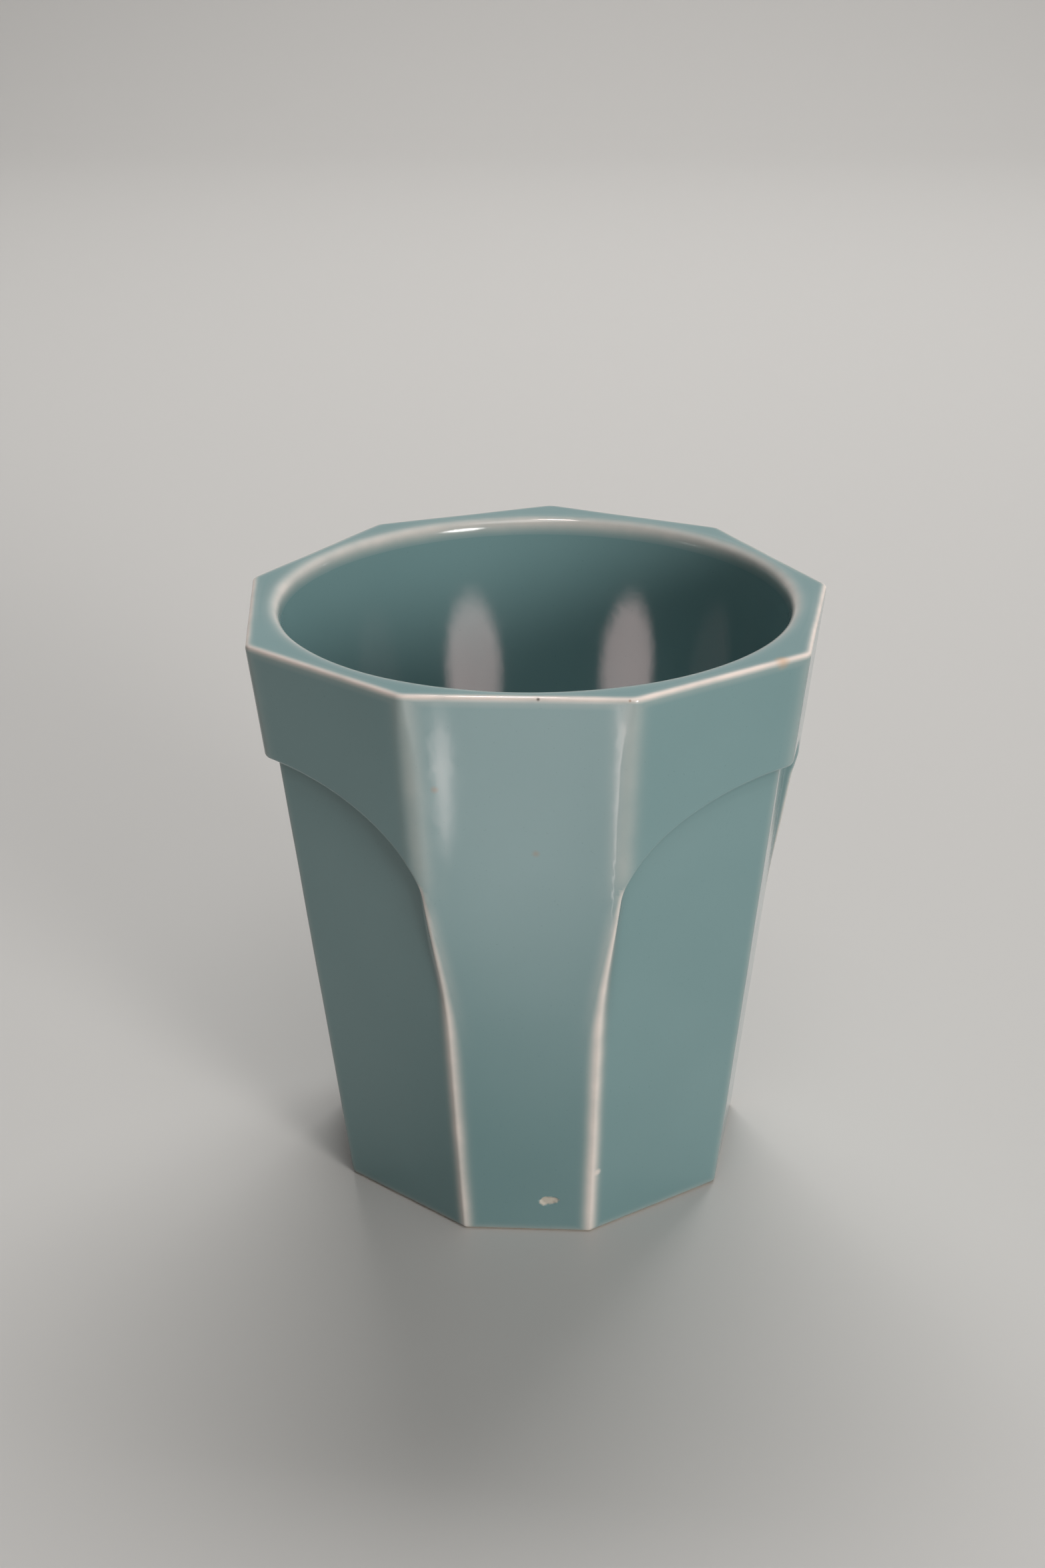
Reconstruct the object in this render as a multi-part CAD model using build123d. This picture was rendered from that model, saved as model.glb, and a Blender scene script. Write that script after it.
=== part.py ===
from build123d import *
import os
from math import cos, radians, sin

# Nine-sided glazed pot for brushes. Millimetres, +Z up, origin at the centre of the foot.
# Three flat piers stand at the front (-Y) and at 120 degrees either side. Between two
# piers lie two faces sunk below one arch, which springs from pier to pier under the collar.

# Driving dimensions
HEIGHT = 100.0              # foot to lip
RIM_PIER_APOTHEM = 45.0     # axis to a pier's face, at the lip
RIM_ARCH_APOTHEM = 46.3     # axis to the collar's face over an arch, at the lip
BASE_SCALE = 0.752          # foot outline against lip outline
ARCH_FACE_ANGLE = 37.4      # degrees in plan, from a pier's face to the next arch face
RECESS_AT_BASE = 1.6        # how far an arch face is sunk, at the foot
RECESS_AT_RIM = 2.05        # the same, if it ran on up to the lip
ARCH_HALF_WIDTH = 27.6      # seen square on, from the arch's middle to its leg
ARCH_SPRING_Z = 65.0        # where the legs end and the curve starts
ARCH_RISE = 15.5            # curve's height above the legs
MOUTH_RADIUS = 41.7         # round mouth, at the lip
WELL_FLOOR_RADIUS = 30.0    # round well, where its wall would meet its floor
WELL_FLOOR_Z = 5.0          # top of the well's floor
HOLLOW_RADIUS = 26.0        # shallow hollow under the foot
HOLLOW_DEPTH = 1.2

# Glaze
GLAZE = 0.4                 # thickness of the fired coat
DRY_FOOT = 0.4              # height of bare clay above the table
LINER_TOP_Z = 97.0          # where the well's coat meets the outer coat

# Roundings
LIP_RADIUS = 0.8            # outer edge of the lip
MOUTH_EDGE_RADIUS = 1.6     # inner edge of the lip
COLLAR_CORNER_RADIUS = 2.5  # upright corners of the collar
SUNK_CORNER_RADIUS = 1.0    # upright corner between two sunk faces
ARCH_FOOT_RADIUS = 0.6      # where a sunk face turns up to its arch
ARCH_EDGE_RADIUS = 0.5      # edge of the collar along an arch
WELL_CORNER_RADIUS = 6.0    # where the well's wall turns into its floor
FOOT_EDGE_RADIUS = 1.0      # bottom edge, over the glaze
HOLLOW_EDGE_RADIUS = 0.6    # inner edge of the foot ring

PIERS = 3
PIER_STEP = 360.0 / PIERS
FRONT = -90.0               # direction that the first pier faces
ARCH_TOP_Z = ARCH_SPRING_Z + ARCH_RISE
CORE_MARGIN = 5.0           # keeps the core's pier faces clear of the pot's
REACH = 60.0                # past the outline, for cutting tools
CLEAR = 0.1                 # slack when picking edges by height


def corner(angle_a, apothem_a, angle_b, apothem_b):
    """Plan point where two faces meet, from their directions and apothems."""
    ax, ay = cos(radians(angle_a)), sin(radians(angle_a))
    bx, by = cos(radians(angle_b)), sin(radians(angle_b))
    det = ax * by - ay * bx
    x = (apothem_a * by - apothem_b * ay) / det
    y = (apothem_b * ax - apothem_a * bx) / det
    return x, y


def outline(pier_apothem, arch_apothem):
    """The nine corners of the plan, going round from the front pier's right side."""
    sides = []
    for step in range(PIERS):
        pier = FRONT + step * PIER_STEP
        sides.append((pier, pier_apothem))
        sides.append((pier + ARCH_FACE_ANGLE, arch_apothem))
        sides.append((pier + PIER_STEP - ARCH_FACE_ANGLE, arch_apothem))
    return [corner(*side, *after) for side, after in zip(sides, sides[1:] + sides[:1])]


def tapered(pier_rim, arch_rim, pier_base, arch_base, height):
    """Flat-sided nine-cornered taper, from the table up to a height."""
    bottom = [(x, y, 0) for x, y in outline(pier_base, arch_base)]
    top = [(x, y, height) for x, y in outline(pier_rim, arch_rim)]
    faces = [Face(Wire.make_polygon(bottom)), Face(Wire.make_polygon(top))]
    for index, low in enumerate(bottom):
        after = (index + 1) % len(bottom)
        side = Wire.make_polygon([low, bottom[after], top[after], top[index]])
        faces.append(Face(side))
    return Solid(Shell(faces))


def round_uprights(body, radius):
    """Round the edges that run from the foot to the lip."""
    uprights = [edge for edge in body.edges() if edge.bounding_box().size.Z > HEIGHT / 2]
    return body.fillet(radius, uprights)


def arch_block(turn, inset):
    """Prism with an arch for its outline, run outwards between two piers."""
    half = ARCH_HALF_WIDTH + inset
    with BuildPart() as block:
        with BuildSketch(Plane.XZ):
            with BuildLine():
                Line((-half, ARCH_SPRING_Z), (-half, -REACH))
                Line((-half, -REACH), (half, -REACH))
                Line((half, -REACH), (half, ARCH_SPRING_Z))
                EllipticalCenterArc((0, ARCH_SPRING_Z), half, ARCH_RISE + inset, 0, arc_size=180)
            make_face()
        extrude(amount=-REACH)
    return block.part.rotate(Axis.Z, turn)


def blank_form(inset):
    """The pot's outside before its arches are sunk, moved in by an inset."""
    height = HEIGHT - inset
    pier_rim = RIM_PIER_APOTHEM - inset
    arch_rim = RIM_ARCH_APOTHEM - inset
    pier_base = RIM_PIER_APOTHEM * BASE_SCALE - inset
    arch_base = RIM_ARCH_APOTHEM * BASE_SCALE - inset
    blank = tapered(pier_rim, arch_rim, pier_base, arch_base, height)
    return round_uprights(blank, COLLAR_CORNER_RADIUS)


def sunk_core(inset):
    """Solid whose arch faces are the sunk ones, and whose piers stand clear outside."""
    pier_rim = RIM_PIER_APOTHEM + CORE_MARGIN
    arch_rim = RIM_ARCH_APOTHEM - RECESS_AT_RIM - inset
    pier_base = RIM_PIER_APOTHEM * BASE_SCALE + CORE_MARGIN
    arch_base = RIM_ARCH_APOTHEM * BASE_SCALE - RECESS_AT_BASE - inset
    core = tapered(pier_rim, arch_rim, pier_base, arch_base, HEIGHT)
    return round_uprights(core, SUNK_CORNER_RADIUS)


def carved_form(inset):
    """The pot's outside with its three arches sunk."""
    form = blank_form(inset)
    core = sunk_core(inset)
    for step in range(PIERS):
        middle = FRONT + PIER_STEP * (step + 0.5)
        form = form - (arch_block(middle - 90, inset) - core)
    return form


def soften(form):
    """Round the arches, first where a sunk face turns up to them and then their edges."""
    skin = blank_form(CLEAR)
    low = [edge for edge in form.edges() if edge.bounding_box().size.Z < HEIGHT / 2]
    arch_foot = [e for e in low if skin.is_inside(e @ 0.5) and (e @ 0.5).Z > CLEAR]
    form = form.fillet(ARCH_FOOT_RADIUS, arch_foot)
    outer = [edge for edge in form.edges() if not skin.is_inside(edge @ 0.5)]
    arch_edge = [e for e in outer if ARCH_SPRING_Z < (e @ 0.5).Z < ARCH_TOP_Z + CLEAR]
    return form.fillet(ARCH_EDGE_RADIUS, arch_edge)


def round_lip(form):
    """Round the lip's outer edge."""
    rim = [e for e in form.edges() if min((e @ 0).Z, (e @ 1).Z) > HEIGHT - CLEAR]
    return form.fillet(LIP_RADIUS, [e for e in rim if e.geom_type != GeomType.CIRCLE])


def round_foot(form, radius):
    """Round the bottom's outer edge."""
    return form.fillet(radius, form.edges().group_by(Axis.Z)[0])


def well(inset):
    """The round tapered space for the brushes, grown by an inset."""
    slope = (MOUTH_RADIUS - WELL_FLOOR_RADIUS) / (HEIGHT - WELL_FLOOR_Z)
    floor_z = WELL_FLOOR_Z - inset
    floor_radius = WELL_FLOOR_RADIUS + inset
    top_z = HEIGHT + REACH
    top_radius = floor_radius + slope * (top_z - floor_z)
    with BuildPart() as space:
        with BuildSketch(Plane.XZ) as section:
            Polygon((0, floor_z), (floor_radius, floor_z), (top_radius, top_z), (0, top_z), align=None)
            turn = section.vertices().group_by(Axis.Y)[0].sort_by(Axis.X)[-1]
            fillet(turn, WELL_CORNER_RADIUS + inset)
        revolve(axis=Axis.Z)
    return space.part


def bored(form, inset):
    """Cut the well, and round its mouth."""
    form = form - well(inset)
    mouth = form.edges().filter_by(GeomType.CIRCLE).sort_by(Axis.Z)[-1]
    return form.fillet(MOUTH_EDGE_RADIUS - inset, [mouth])


def slab(low_z, high_z):
    """Flat block wider than the pot, between two heights."""
    size = REACH * 2
    block = Box(size, size, high_z - low_z)
    return block.moved(Location((0, 0, (low_z + high_z) / 2)))


def make_clay(inset):
    """The pot in bare clay, under a coat as thick as the inset, with a flat underside."""
    form = round_foot(carved_form(inset), FOOT_EDGE_RADIUS - inset)
    return bored(form, inset)


def make_clay_body(clay):
    """The clay with a shallow hollow that leaves a foot ring."""
    body = clay - Cylinder(HOLLOW_RADIUS, HOLLOW_DEPTH * 2)
    ring = body.edges().filter_by(GeomType.CIRCLE).group_by(Axis.Z)[0]
    return body.fillet(HOLLOW_EDGE_RADIUS, ring)


def make_liner_glaze():
    """The coat inside the well."""
    return well(GLAZE) - well(0) - slab(LINER_TOP_Z, HEIGHT * 2)


def make_outer_glaze(clay, liner):
    """The coat over the outside and the lip, down into the mouth."""
    form = round_foot(soften(carved_form(0)), FOOT_EDGE_RADIUS)
    glazed = round_lip(bored(form, 0))
    return glazed - clay - liner - slab(-REACH, DRY_FOOT)


os.makedirs("parts", exist_ok=True)
clay = make_clay(GLAZE)
liner = make_liner_glaze()
export_step(make_clay_body(clay), "parts/clay_body.step")
export_step(liner, "parts/liner_glaze.step")
export_step(make_outer_glaze(clay, liner), "parts/outer_glaze.step")
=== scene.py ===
import math

import bmesh
import bpy
import numpy as np
from mathutils import Matrix, Vector


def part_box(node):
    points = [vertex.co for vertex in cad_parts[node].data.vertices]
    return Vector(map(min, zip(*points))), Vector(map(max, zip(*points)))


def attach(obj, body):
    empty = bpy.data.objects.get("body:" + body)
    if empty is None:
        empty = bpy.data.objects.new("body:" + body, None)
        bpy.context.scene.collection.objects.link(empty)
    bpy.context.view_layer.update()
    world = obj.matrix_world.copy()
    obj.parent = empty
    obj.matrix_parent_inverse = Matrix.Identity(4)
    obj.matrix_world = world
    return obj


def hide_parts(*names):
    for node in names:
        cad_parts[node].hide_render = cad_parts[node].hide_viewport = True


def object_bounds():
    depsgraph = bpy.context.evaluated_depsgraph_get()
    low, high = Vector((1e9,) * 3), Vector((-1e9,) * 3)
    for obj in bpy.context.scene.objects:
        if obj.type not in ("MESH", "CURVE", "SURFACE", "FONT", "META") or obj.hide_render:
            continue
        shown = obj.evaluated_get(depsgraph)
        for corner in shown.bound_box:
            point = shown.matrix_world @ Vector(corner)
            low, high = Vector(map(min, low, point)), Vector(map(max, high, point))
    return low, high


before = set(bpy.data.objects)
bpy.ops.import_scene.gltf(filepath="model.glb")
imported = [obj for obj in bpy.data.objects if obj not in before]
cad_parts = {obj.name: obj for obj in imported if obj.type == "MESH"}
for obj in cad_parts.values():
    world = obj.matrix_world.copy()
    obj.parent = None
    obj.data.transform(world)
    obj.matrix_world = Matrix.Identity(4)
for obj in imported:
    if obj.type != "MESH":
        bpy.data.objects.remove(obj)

# A nine-sided glazed pot for brushes, around the packed clay body. Shapes are worked out in
# millimetres and written in metres. The glaze is two closed coats: the outer one is a grid of
# points drawn on to a surface that is given by a formula, and the well's is a turned profile.

CAD_LOW, CAD_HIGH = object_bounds()
LINER_LOW, LINER_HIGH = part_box("liner_glaze")
OUTER_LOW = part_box("outer_glaze")[0]
MM = 0.001

# ---------------------------------------------------------------- driving dimensions, mm
HEIGHT = CAD_HIGH.z / MM                    # foot to lip
RIM_PIER_APOTHEM = 45.0                     # axis to a pier's face, at the lip
RIM_ARCH_APOTHEM = 46.3                     # axis to the collar's face over an arch
BASE_SCALE = 0.752                          # foot outline against lip outline
ARCH_FACE_TURN = math.radians(22.6)         # in plan, from an arch's middle to its face
PIER_TURN = math.radians(60.0)              # in plan, from an arch's middle to the pier
RECESS_AT_BASE = 1.6                        # how far an arch face is sunk, at the foot
RECESS_AT_RIM = 2.05                        # the same, if it ran on up to the lip
ARCH_HALF_WIDTH = 27.8                      # before its edge is rounded
ARCH_SPRING_Z = 65.0
ARCH_RISE = 15.7
ARCH_MIDDLES = [math.radians(a) for a in (-30.0, 90.0, 210.0)]
MOUTH_RADIUS = 41.7                         # round mouth, at the lip
WELL_FLOOR_RADIUS = 30.0
GLAZE = 0.4                                 # thickness of both coats
WELL_FLOOR_Z = LINER_LOW.z / MM + GLAZE
LINER_TOP_Z = LINER_HIGH.z / MM
DRY_FOOT_Z = OUTER_LOW.z / MM               # bare clay shows below this

# Roundings of the fired glaze, mm
LIP_RADIUS = 0.8
MOUTH_EDGE_RADIUS = 1.6
COLLAR_CORNER_RADIUS = 2.5  # at the lip and between the two faces of a collar
COLLAR_CORNER_WIDE = 5.5    # beside a pier, below the lip
COLLAR_WIDENS = 1.0, 12.0   # below the lip, where it starts and ends growing wide
SUNK_CORNER_RADIUS = 1.0
ARCH_FOOT_RADIUS = 1.0
SOFT_EDGE_RADIUS = 0.8      # edge of the collar along an arch
CRISP_EDGE_RADIUS = 0.6     # free edge of a pier, between the arch's springing and the bend
PIER_EDGE_RADIUS = 0.8      # edge of a pier under the bend
FOOT_EDGE_RADIUS = 1.0
WELL_CORNER_RADIUS = 6.0
BEND_Z = 47.0               # where a pier's edges bend
WALL_DRAFT = math.radians(14.0)     # lean of the step round an arch
SLOPE_STEP = 0.01           # distance over which slopes are taken
LEAST_BLEND = 0.02          # keeps a rounding's width above nothing
LEAST_TURN = 0.98           # cosine of the smallest turn that is rounded

# A chip through the glaze, low on the front pier, mm
CHIP_X, CHIP_Z = 3.6, 6.5
CHIP_HALF_WIDTH, CHIP_HALF_HEIGHT = 1.8, 1.0
CHIP_TILT = math.radians(9.0)
CHIP_DEPTH = 0.25
CHIP_REACH = 3.0                # how deep into the pot its colour runs
CHIP_REGION = 4.2, 1.5, 4.4     # half sizes of the mesh that is made finer round it
CHIP_CUTS = 7                   # cuts along each edge there

# Rows and columns of the outer coat's grid, mm
LIP_SPAN = 4.0              # width of the lip that the rows across it are spaced for
COLLAR_ROWS_Z = 84.4        # rows are level above this
GUIDED_REACH = 2.4          # how far above and below an arch the rows follow it
GUIDE_LOW_Z = 70.5          # where the rows that follow an arch level off
LEVEL_Z = 63.0              # rows are level again below this
FOOT_ROWS_Z = 2.4           # and closer together below this
PIER_SPAN = 10.0            # width that the rows which follow an arch give to a pier's columns
STEP_REACH = 4.5            # points this near to the step round an arch are moved
STEP_SHARE = 0.45           # points within this share of its depth are put on it

# Pale lines where the glaze breaks, the lip's and the collar's partly painted highlight: how wide
# each is in mm, and how pale
# the lip's pale line is made wide enough to stand for the lip's bright band: partly glaze break,
# partly painted highlight
LIP_LINE = 0.72, 1.0
MOUTH_LINE = 1.6, 0.62
PIER_LINE = 0.68, 0.75
PIER_BAND = 1.2, 0.2        # a fainter band just inside a pier's line
# the collar's pale line runs on to the pier's side down the corner: partly glaze break, partly
# painted highlight
COLLAR_LINE = 1.15, 0.24
MIDDLE_LINE = 1.1, 0.14     # between the two faces of a collar
SUNK_LINE = 0.5, 0.12       # between two sunk faces
FOOT_LINE = 0.8, 0.25
FOOT_SHADE = 0.12            # painted shade: how much darker the glaze is made towards the foot
WELL_FLOOR_DARKENING = 0.5             # and how much darker the well's floor is made

# Colours, as linear RGB
CELADON = (0.168, 0.281, 0.286)
CELADON_LIGHT = (0.186, 0.301, 0.306)
CELADON_DEEP = (0.082, 0.166, 0.170)
# lighter than a bare break would be, so the lip's pale line also carries part of its highlight:
# partly painted highlight
CREAM = (0.88, 0.77, 0.70)
CLAY_TONE = (0.62, 0.55, 0.46)
CLAY_DARK = (0.60, 0.51, 0.40)
CLAY_LIGHT = (0.72, 0.64, 0.53)
SAND = (0.36, 0.27, 0.19)
RUST = (0.30, 0.15, 0.06)
ORANGE_TINT = (0.62, 0.33, 0.12)
PIN_DARK = (0.10, 0.08, 0.06)
FLOOR_TONE = (0.57, 0.555, 0.535)
SURROUND_TONE = (0.94, 0.95, 0.96)
KEY_TONE = (1.0, 0.985, 0.965)
WINDOW_TONE = (1.0, 0.76, 0.74)
GLINT_TONE = (1.0, 0.84, 0.81)
HAZE_TONE = (1.0, 0.93, 0.93)

# Small flaws of the firing, as centre, radius, soft edge, amount and colour. Sizes in mm
FLAWS = [
    ((11.6, -34.6, 12.5), 0.55, 0.25, 0.6, CREAM),
    ((-12.6, -43.2, 84.3), 0.45, 0.35, 0.4, RUST),
    ((2.35, -42.0, 73.5), 0.45, 0.35, 0.35, RUST),
    ((3.0, -44.75, 99.6), 0.22, 0.12, 0.85, PIN_DARK),
    ((16.3, -44.75, 99.6), 0.18, 0.10, 0.6, RUST),
    ((39.0, -28.2, 99.8), 0.9, 0.7, 0.45, ORANGE_TINT),
]

# Stage, m
KEY_PLACE = (0.80, -1.03, 0.36)
BACK_PLACE = (0.1, 0.9, 1.3)
TOP_PLACE = (0.15, -0.5, 1.2)
BURNT_FLOOR = 0.15, 0.32    # towards the key, where the floor starts and ends burning out
SURROUND_SEEN = 0.5         # strength at which the camera sees the surround
SURROUND_FELT = 0.03        # and at which it lights the pot

SIN_ARCH, COS_ARCH = math.sin(ARCH_FACE_TURN), math.cos(ARCH_FACE_TURN)
SIN_PIER, COS_PIER = math.sin(PIER_TURN), math.cos(PIER_TURN)
WELL_SLOPE = (MOUTH_RADIUS - WELL_FLOOR_RADIUS) / (HEIGHT - WELL_FLOOR_Z)
WELL_COS = 1.0 / math.hypot(1.0, WELL_SLOPE)

RIGHT_ANGLE = math.pi / 2
CORNER_AT_PIER = PIER_TURN - ARCH_FACE_TURN     # turn between a pier's and an arch's face
CORNER_AT_MIDDLE = 2 * ARCH_FACE_TURN           # turn between the two faces of one arch


# ------------------------------------------------------------------- formulas of the form
def blend_width(radius, turn):
    """Width of a soft maximum that rounds a corner of the given turn to the given radius."""
    return 4 * radius * (1 - np.cos(turn / 2))


def soft_max(a, b, width):
    """Larger of two distances, rounded over where they are nearly equal."""
    near = np.maximum(width - np.abs(a - b), 0) / width
    return np.maximum(a, b) + near * near * width / 4


def soft_step(low, high, value):
    """0 below low, 1 above high, and smooth between."""
    share = np.clip((value - low) / (high - low), 0, 1)
    return share * share * (3 - 2 * share)


def widening(z):
    """Share of the lip's size that the outline has at a height."""
    return BASE_SCALE + (1 - BASE_SCALE) * z / HEIGHT


def pier_apothem(z):
    return RIM_PIER_APOTHEM * widening(z)


def arch_apothem(z):
    return RIM_ARCH_APOTHEM * widening(z)


def sunk_apothem(z):
    recess = RECESS_AT_BASE + (RECESS_AT_RIM - RECESS_AT_BASE) * z / HEIGHT
    return arch_apothem(z) - recess


def fold(points):
    """Sideways and outward distance of points from the nearest arch's middle, and height."""
    x, y, z = points.T
    third = 2 * math.pi / 3
    turn = (np.arctan2(y, x) - ARCH_MIDDLES[0] + third / 2) % third - third / 2
    radius = np.hypot(x, y)
    return radius * np.abs(np.sin(turn)), radius * np.cos(turn), z


def faces_of_arch(side, out, apothem, radius):
    """Distance outside the two faces of an arch, with the corner between them rounded."""
    near = out * COS_ARCH + side * SIN_ARCH - apothem
    far = out * COS_ARCH - side * SIN_ARCH - apothem
    return soft_max(near, far, blend_width(radius, CORNER_AT_MIDDLE))


def pier_face(side, out, z, inset):
    """Distance outside a pier's face."""
    return side * SIN_PIER + out * COS_PIER - pier_apothem(z) + inset


def blank(side, out, z, inset):
    """Distance outside the pot before its arches are sunk."""
    arch = faces_of_arch(side, out, arch_apothem(z) - inset, COLLAR_CORNER_RADIUS - inset)
    starts, ends = COLLAR_WIDENS
    wide = 1 - soft_step(HEIGHT - ends, HEIGHT - starts, z)
    radius = COLLAR_CORNER_RADIUS + (COLLAR_CORNER_WIDE - COLLAR_CORNER_RADIUS) * wide - inset
    return soft_max(arch, pier_face(side, out, z, inset), blend_width(radius, CORNER_AT_PIER))


def arch_distance(side, z, inset):
    """Distance outside the arch's outline, seen square on; negative under the arch."""
    half, rise = ARCH_HALF_WIDTH + inset, ARCH_RISE + inset
    up = np.maximum(z - ARCH_SPRING_Z, 0)
    size = np.hypot(side / half, up / rise)
    slope = np.hypot(side / half**2, up / rise**2)
    return (size - 1) * size / np.maximum(slope, 1e-6)


def arch_slopes(side, z, inset):
    """Slopes of the arch distance, sideways and upwards."""
    d = arch_distance(side, z, inset)
    sideways_slope = (arch_distance(side + SLOPE_STEP, z, inset) - d) / SLOPE_STEP
    upward_slope = (arch_distance(side, z + SLOPE_STEP, inset) - d) / SLOPE_STEP
    size = np.maximum(np.hypot(sideways_slope, upward_slope), 0.5)
    return sideways_slope / size, upward_slope / size


def on_pier(side, out, z):
    """Share in which the surface faces as a pier does, not as an arch face does."""
    arch = out * COS_ARCH + side * SIN_ARCH - arch_apothem(z)
    return soft_step(-1.0, 1.0, pier_face(side, out, z, 0) - arch)


def pocket(side, out, z, inset):
    """Distance outside the hollow that an arch sinks into the blank.

    Its wall starts from the arch's outline and stands nearly square to the surface there."""
    core = faces_of_arch(side, out, sunk_apothem(z) - inset, SUNK_CORNER_RADIUS)
    surface = blank(side, out, z, inset)
    lean = arch_slopes(side, z, inset)[0]
    lean = lean * (SIN_ARCH + on_pier(side, out, z) * (SIN_PIER - SIN_ARCH))
    wall = (arch_distance(side, z, inset) - lean * surface) / np.sqrt(1 - lean * lean)
    wall = wall * math.cos(WALL_DRAFT) - surface * math.sin(WALL_DRAFT)
    return soft_max(wall, -core, blend_width(ARCH_FOOT_RADIUS, RIGHT_ANGLE))


def gradient(function, points, here=None):
    """Slope of a function of points along x, y and z."""
    here = function(points) if here is None else here
    shifts = np.eye(3) * SLOPE_STEP
    slopes = [(function(points + shift) - here) / SLOPE_STEP for shift in shifts]
    return np.stack(slopes, axis=1)


def unit(vectors):
    return vectors / np.maximum(np.linalg.norm(vectors, axis=1, keepdims=True), 1e-9)


def edge_radius(z, inset):
    """Rounding of the edge round a pocket, from a pier's foot up to the arch's top."""
    crisp = soft_step(BEND_Z - 5, BEND_Z + 2, z)
    soft = soft_step(ARCH_SPRING_Z - 2, ARCH_SPRING_Z + 6, z)
    radius = PIER_EDGE_RADIUS + (CRISP_EDGE_RADIUS - PIER_EDGE_RADIUS) * crisp
    radius = radius + (SOFT_EDGE_RADIUS - radius) * soft
    return np.maximum(radius - inset, CRISP_EDGE_RADIUS)


def carved(points, inset):
    """Distance outside the pot with its arches sunk, and with the pocket's edges rounded."""
    def outside(p):
        return blank(*fold(p), inset)

    def filled(p):
        return -pocket(*fold(p), inset)

    surface, hollow = outside(points), filled(points)
    across = unit(gradient(outside, points, surface))
    along = unit(gradient(filled, points, hollow))
    turn = np.arccos(np.clip(np.sum(across * along, axis=1), -1, LEAST_TURN))
    width = blend_width(edge_radius(points[:, 2], inset), turn)
    return soft_max(surface, hollow, np.maximum(width, LEAST_BLEND))


def well_distance(points, inset):
    """Distance inside the clay from the well's wall; negative in the well."""
    radius = MOUTH_RADIUS - (HEIGHT - points[:, 2]) * WELL_SLOPE
    return (np.hypot(points[:, 0], points[:, 1]) - radius - inset) * WELL_COS


def sway_terms(count=9, seed=7):
    """Directions, lengths and phases of the waves that make the glaze uneven."""
    rng = np.random.default_rng(seed)
    aims = unit(rng.normal(size=(count, 3)))
    lengths = rng.uniform(11.0, 26.0, count)
    return aims * (2 * math.pi / lengths)[:, None], rng.uniform(0, 2 * math.pi, count)


SWAY_WAVES, SWAY_PHASES = sway_terms()
SWAY_DEPTH = 0.05       # mm, always inwards


def sway(points):
    """How far the uneven glaze lies inside the true form."""
    waves = np.sin(points @ SWAY_WAVES.T + SWAY_PHASES).mean(axis=1)
    return SWAY_DEPTH * (0.5 + 0.5 * np.clip(waves * 2, -1, 1))


def chip(points):
    """Depth of the small chip low on the front pier."""
    right, rise = points[:, 0] - CHIP_X, points[:, 2] - CHIP_Z
    across = (right * math.cos(CHIP_TILT) + rise * math.sin(CHIP_TILT)) / CHIP_HALF_WIDTH
    up = (rise * math.cos(CHIP_TILT) - right * math.sin(CHIP_TILT)) / CHIP_HALF_HEIGHT
    turn = np.arctan2(up, across)
    ragged = 1 + 0.12 * np.sin(3 * turn + 0.7) + 0.07 * np.sin(7 * turn + 2.0)
    bowl = 1 - (np.hypot(across, up) / ragged) ** 2
    return CHIP_DEPTH * soft_step(0, 0.8, bowl) * (points[:, 1] < 0)


def coat_form(points, inset=0.0):
    """Distance outside the pot's fired surface, or outside the clay at the coat's inset."""
    form = carved(points, inset)
    lip = points[:, 2] - HEIGHT + inset
    form = soft_max(form, lip, blend_width(LIP_RADIUS - inset, RIGHT_ANGLE))
    form = soft_max(form, -points[:, 2], blend_width(FOOT_EDGE_RADIUS - inset, RIGHT_ANGLE))
    mouth = blend_width(MOUTH_EDGE_RADIUS - inset, RIGHT_ANGLE)
    form = soft_max(form, -well_distance(points, inset), mouth)
    form = form + sway(points)
    return form if inset else form + chip(points)


def draw_on(function, points, level, rounds=5):
    """Move points on to a surface. Those marked as level keep their height."""
    for _ in range(rounds):
        here = function(points)
        slope = gradient(function, points, here)
        slope[level, 2] = 0
        share = here / np.maximum(np.sum(slope * slope, axis=1), 0.2)
        points = points - slope * np.clip(share, -1, 1)[:, None]
    return points


# ------------------------------------------------------------------------ grid of the coat
def stations(*stretches):
    """Values along (start, end, spacing) stretches that follow one another."""
    values = []
    for start, end, spacing in stretches:
        count = max(1, round(abs(end - start) / spacing))
        values.extend(np.linspace(start, end, count, endpoint=False))
    values.append(stretches[-1][1])
    return np.array(values)


def pier_corner(z, apothem):
    """Sideways distance at which a pier's face meets an arch face of the given apothem."""
    return (pier_apothem(z) / COS_PIER - apothem / COS_ARCH) / (
        math.tan(PIER_TURN) - math.tan(ARCH_FACE_TURN))


def pier_edge(z):
    """Sideways distance of a pier's visible edge."""
    high = pier_corner(z, arch_apothem(z))
    low = pier_corner(z, sunk_apothem(z))
    return np.minimum(np.maximum(ARCH_HALF_WIDTH, high), low)


def column_shares():
    """Places of the columns: 0 at the arch's middle, 1 at the pier's edge, 2 at its middle."""
    half = ARCH_HALF_WIDTH
    arch = stations((0, 1.8, 0.3), (1.8, 22.5, 1.0), (22.5, 26.0, 0.39), (26.0, half, 0.17))
    pier = stations((0, 1.7, 0.17), (1.7, 3.5, 0.45), (3.5, 13.0, 1.35))
    return np.concatenate([arch / half, 1 + pier[1:] / pier[-1]])


def sideways(share, z):
    """Sideways distance of a column at a height."""
    edge = pier_edge(z)
    middle = pier_apothem(z) * SIN_PIER
    return np.where(share <= 1, share * edge, edge + (share - 1) * (middle - edge))


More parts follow.
